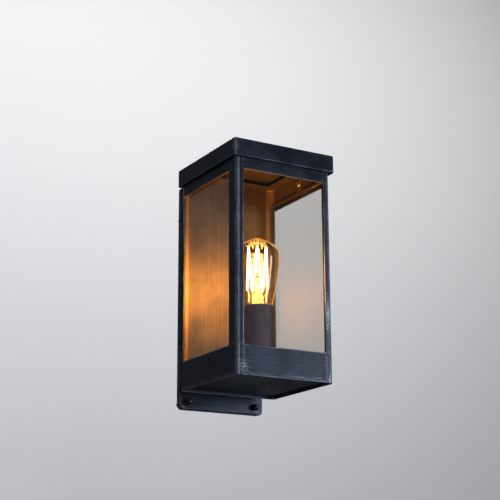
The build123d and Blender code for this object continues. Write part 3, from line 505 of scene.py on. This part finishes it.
def coil(start, end, radius, pitch, steps=7):
    """Points on a tight spiral between two spots."""
    along = end - start
    turns = along.length / pitch
    side = along.orthogonal().normalized()
    other = along.normalized().cross(side)
    count = max(2, int(turns * steps))
    points = []
    for i in range(count + 1):
        t = i / count
        turn = 2 * math.pi * turns * t
        points.append(start + along * t + radius * (math.cos(turn) * side + math.sin(turn) * other))
    return points


def bend_spot(step):
    """Where the filament turns: at the top and the bottom of the cage by turns."""
    return cage_spot(step, CAGE_R, CAGE_TOP if step % 2 == 0 else CAGE_LOW)


def hook_line(step):
    """A support wire: out of its button in a low arch, then round the filament's bend."""
    up = step % 2 == 0
    z0, z1 = (UPPER_BUTTON, CAGE_TOP) if up else (LOWER_BUTTON, CAGE_LOW)
    lift = 0.0030 if up else -0.0014
    reach = CAGE_R + 0.0002
    points = []
    for k in range(13):
        t = k / 12
        radius = BUTTON_R + (reach - BUTTON_R) * t
        height = z0 + (z1 - z0) * t ** 1.6 + lift * math.sin(math.pi * t)
        points.append(cage_spot(step, radius, height))
    side = -1 if up else 1
    for k in range(1, 9):
        turn = math.pi * k / 8
        height = z1 + side * HOOK_R * (1 - math.cos(turn))
        points.append(cage_spot(step, reach + HOOK_R * math.sin(turn), height))
    return points


strand_lines, bend_lines = [], []
for i in range(BENDS - 1):
    start, end = bend_spot(i), bend_spot(i + 1)
    inset = BEND_SHARE * (end - start)
    strand_lines.append(coil(start + inset, end - inset, COIL_R, COIL_PITCH))
for i in range(1, BENDS - 1):
    before, here, after = bend_spot(i - 1), bend_spot(i), bend_spot(i + 1)
    start, end = here + BEND_SHARE * (before - here), here + BEND_SHARE * (after - here)
    bend = []
    for k in range(9):
        t = k / 8
        bend.append((1 - t) ** 2 * start + 2 * t * (1 - t) * here + t ** 2 * end)
    bend_lines.append(bend)
strands = tube_along("filament_strands", strand_lines, STRAND_R, 5)
bends = tube_along("filament_bends", bend_lines, BEND_R, 6)
hooks = tube_along("filament_hooks", [hook_line(i) for i in range(BENDS)], HOOK_WIRE_R, 6)
strands.visible_shadow = False
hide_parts("bulb_filament")
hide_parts("bulb_supports")
wear(glow("HotWire", (1.0, 0.70, 0.30), 30.0), strands)
wear(glow("WarmWire", (1.0, 0.52, 0.14), 9.0), bends)
# painted glow: the support hooks are no lamp; their faint emission stands in for the filament's
# light on them
wear(glow("PaintedGlowHooks", (1.0, 0.42, 0.08), 1.1), hooks)


# ---- screw threads ------------------------------------------------------------------
THREAD_PITCH = 0.00362


def lathe_with_thread(name, axis_point, rows, body, sides=64):
    """A turned skin about Z through axis_point. rows: (radius, height, thread depth). The
    thread is a true helix."""
    verts, faces = [], []
    for radius, z, depth in rows:
        for k in range(sides):
            turn = 2 * math.pi * k / sides
            wave = depth * math.sin(2 * math.pi * z / THREAD_PITCH - turn)
            r = radius + wave
            verts.append((axis_point[0] + r * math.cos(turn),
                          axis_point[1] + r * math.sin(turn), z))
    for i in range(len(rows) - 1):
        for k in range(sides):
            a, b = i * sides + k, i * sides + (k + 1) % sides
            faces.append((a, b, b + sides, a + sides))
    return add_mesh(name, verts, faces, body)


def thread_rows(low, high, radius, depth, step=0.00030, fade=0.0016):
    """Rows of a threaded stretch. The thread fades in and out at its ends."""
    rows = []
    count = int((high - low) / step)
    for i in range(count + 1):
        z = low + (high - low) * i / count
        share = min(1.0, (z - low) / fade, (high - z) / fade)
        rows.append((radius, z, depth * share))
    return rows


CAP_R, CAP_THREAD_R, CAP_SHEET, CAP_END_R = 0.0132, 0.01290, 0.00045, 0.0095
cap_low, cap_high = (corner.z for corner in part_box("bulb_cap"))
outside = thread_rows(cap_low + 0.0012, cap_high - 0.0046, CAP_THREAD_R, 0.00028)
cap_rows = [
    (CAP_END_R, cap_low, 0), (0.0118, cap_low, 0), (0.0125, cap_low + 0.0005, 0),
    *outside,
    (CAP_R, cap_high - 0.0042, 0), (CAP_R, cap_high, 0),
    (CAP_R - CAP_SHEET, cap_high, 0), (CAP_R - CAP_SHEET, cap_high - 0.0040, 0),
    *((r - CAP_SHEET, z, d) for r, z, d in reversed(outside)),
    (CAP_END_R, cap_low + 0.0005, 0), (CAP_END_R, cap_low, 0),
]
cap = lathe_with_thread("cap_thread", (0, BULB_Y), cap_rows, "bulb")
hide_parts("bulb_cap")

SLEEVE_R, SLEEVE_BORE_R, SLEEVE_SHEET = 0.0145, 0.0139, 0.0006
sleeve_low, sleeve_high = (corner.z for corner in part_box("socket_sleeve"))
outside = thread_rows(sleeve_low + 0.0010, sleeve_high - 0.0010, SLEEVE_R, 0.00030)
sleeve_rows = [
    (SLEEVE_R, sleeve_low, 0),
    *outside,
    (SLEEVE_R, sleeve_high, 0), (SLEEVE_BORE_R, sleeve_high, 0),
    *((r - SLEEVE_SHEET, z, d) for r, z, d in reversed(outside)),
    (SLEEVE_BORE_R, sleeve_low, 0), (SLEEVE_R, sleeve_low, 0),
]
sleeve = lathe_with_thread("sleeve_thread", (0, BULB_Y), sleeve_rows, "base")
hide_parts("socket_sleeve")
wear(brass, cap, sleeve)


# ---- stage --------------------------------------------------------------------------
def matt(name, colour, mottle):
    """The stage's matt paint, with a faint large mottle."""
    s = Shade(name)
    cloud = s.noise(1.3, 3.0, 0.5)
    shade = s.mix(s.times(cloud, mottle), colour, tuple(0.88 * c for c in colour))
    return s.finish(s.surface(Base_Color=shade, Roughness=0.9))


def sheet_mesh(name, corners, material):
    """One flat sheet of the stage, which the glass and metal don't reflect."""
    mesh = bpy.data.meshes.new(name)
    mesh.from_pydata(corners, [], [(0, 1, 2, 3)])
    piece = bpy.data.objects.new(name, mesh)
    bpy.context.scene.collection.objects.link(piece)
    mesh.materials.append(material)
    piece.visible_diffuse = piece.visible_glossy = False


FLOOR_Z, BACKDROP_Y, HALF, BACKDROP_TOP = -1.6, 3.2, 9, 7
pale = matt("Studio", (0.66, 0.66, 0.665), 0.25)
sheet_mesh("studio_floor", [(-HALF, -HALF, FLOOR_Z), (HALF, -HALF, FLOOR_Z),
                            (HALF, HALF, FLOOR_Z), (-HALF, HALF, FLOOR_Z)], pale)
sheet_mesh("studio_backdrop", [(-HALF, BACKDROP_Y, FLOOR_Z), (HALF, BACKDROP_Y, FLOOR_Z),
                               (HALF, BACKDROP_Y, BACKDROP_TOP),
                               (-HALF, BACKDROP_Y, BACKDROP_TOP)], pale)


def area_light(name, place, target, size, power, colour):
    """A soft rectangular light that looks at its target."""
    data = bpy.data.lights.new(name, "AREA")
    data.shape = "RECTANGLE"
    data.size, data.size_y = size
    data.energy, data.color = power, colour
    lamp = bpy.data.objects.new(name, data)
    bpy.context.scene.collection.objects.link(lamp)
    lamp.location = place
    lamp.rotation_mode = "QUATERNION"
    lamp.rotation_quaternion = (Vector(target) - Vector(place)).to_track_quat("-Z", "Y")
    return lamp


CENTRE = (0.0, -0.11, 0.17)
area_light("key", (2.0, -1.8, 0.10), CENTRE, (0.9, 1.2), 38.0, (0.74, 0.86, 1.0))
area_light("corner_strip", (-0.95, -2.6, 0.5), CENTRE, (0.16, 1.6), 13.0, (0.80, 0.89, 1.0))
back_fill = area_light("back_fill", (0.8, 2.5, 1.6), CENTRE, (1.4, 1.0), 40.0, (0.90, 0.94, 1.0))
back_fill.visible_camera = back_fill.visible_transmission = False
area_light("wall_wash", (0.9, 0.9, 2.6), (0.9, 3.2, 0.9), (5.0, 1.2), 120.0, (1.0, 0.99, 0.98))

# the filament's light, in three parts from its foot to its top
BULB_POWER = 1.85
for share, height in ((0.34, 0.160), (0.38, 0.184), (0.28, 0.208)):
    bulb_light = bpy.data.lights.new("bulb_light", "POINT")
    bulb_light.energy = BULB_POWER * share
    bulb_light.color = (1.0, 0.575, 0.125)
    bulb_light.shadow_soft_size = 0.010
    lamp = bpy.data.objects.new("bulb_light", bulb_light)
    bpy.context.scene.collection.objects.link(lamp)
    lamp.location = (0.0, BULB_Y, height)
    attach(lamp, "bulb")

world = bpy.data.worlds.new("World")
bpy.context.scene.world = world
world.use_nodes = True
sky = world.node_tree.nodes["Background"].inputs
sky["Color"].default_value = (0.80, 0.86, 0.96, 1.0)
sky["Strength"].default_value = 0.125
bpy.context.scene.view_settings.view_transform = "Standard"

# ---- camera -------------------------------------------------------------------------
YAW, PITCH, ROLL = math.radians(30.338), math.radians(15.636), math.radians(-0.275)
LENS_MM = 94.838
EYE = (-0.94290, -1.70508, -0.30503)
forward = Vector((math.sin(YAW) * math.cos(PITCH), math.cos(YAW) * math.cos(PITCH),
                  math.sin(PITCH)))
level_right = Vector((math.cos(YAW), -math.sin(YAW), 0.0))
level_up = level_right.cross(forward)
right = math.cos(ROLL) * level_right + math.sin(ROLL) * level_up
up = -math.sin(ROLL) * level_right + math.cos(ROLL) * level_up
camera_data = bpy.data.cameras.new("camera")
camera_data.sensor_width = 36.0
camera_data.lens = LENS_MM
camera = bpy.data.objects.new("camera", camera_data)
bpy.context.scene.collection.objects.link(camera)
turn = Matrix((right, up, -forward)).transposed()
camera.matrix_world = Matrix.Translation(EYE) @ turn.to_4x4()
bpy.context.scene.camera = camera
